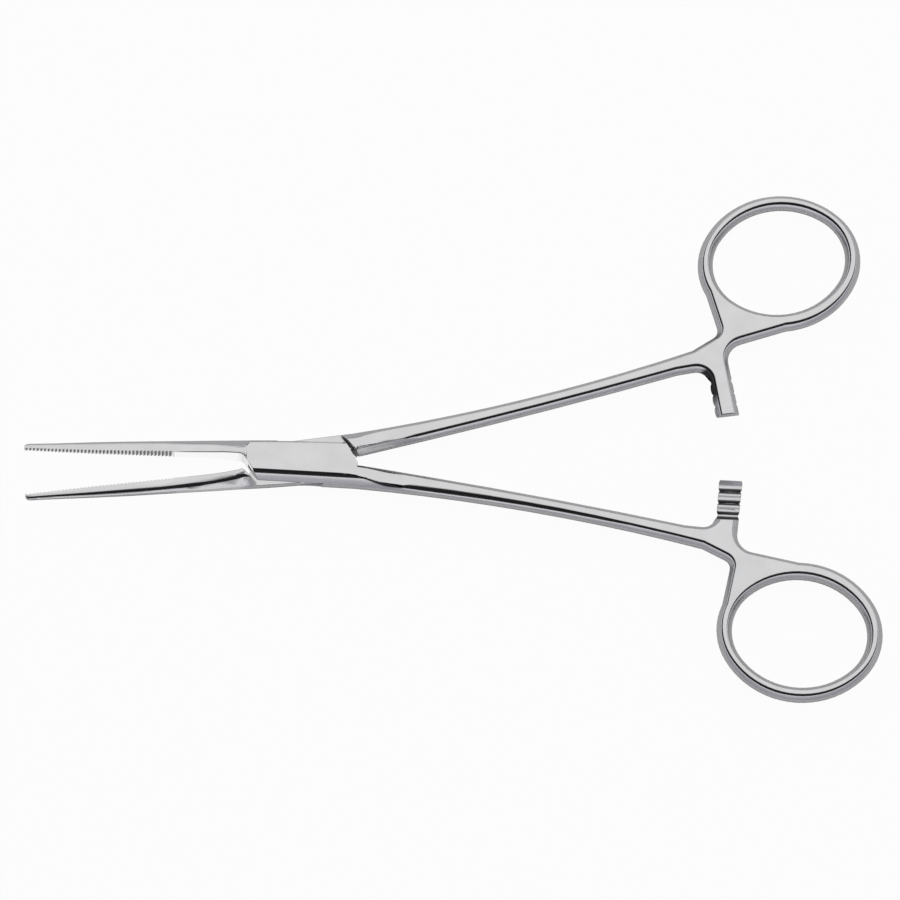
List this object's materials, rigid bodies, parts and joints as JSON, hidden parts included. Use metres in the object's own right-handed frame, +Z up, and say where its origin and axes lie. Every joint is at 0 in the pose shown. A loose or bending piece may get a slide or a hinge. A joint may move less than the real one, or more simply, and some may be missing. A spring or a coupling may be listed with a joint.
{
  "type": "hemostat forceps",
  "caption": "Straight hemostat forceps with a box lock, ratchet arms, finger rings and half-serrated jaws, lying flat and slightly open.",
  "frame": {"origin": "on the axis of the lock pin, in the plane of the underside of the box, which the instrument rests on", "axes": "+X from the box lock towards the finger rings, midway between the two halves; +Z up, along the lock pin"},
  "size_m": [0.138, 0.0886, 0.0042],
  "materials": {
    "steel": "polished stainless steel"
  },
  "bodies": {
    "box_body": {"box_half": "steel", "lock_pin": "steel"},
    "tongue_body": {"tongue_half": "steel"}
  },
  "joints": [
    {"name": "box_lock_hinge", "type": "hinge", "parent": "box_body", "child": "tongue_body", "pos_m": [0, 0, 0.0021], "axis": [0, 0, 1], "range_deg": [-9.9, 50]}
  ]
}
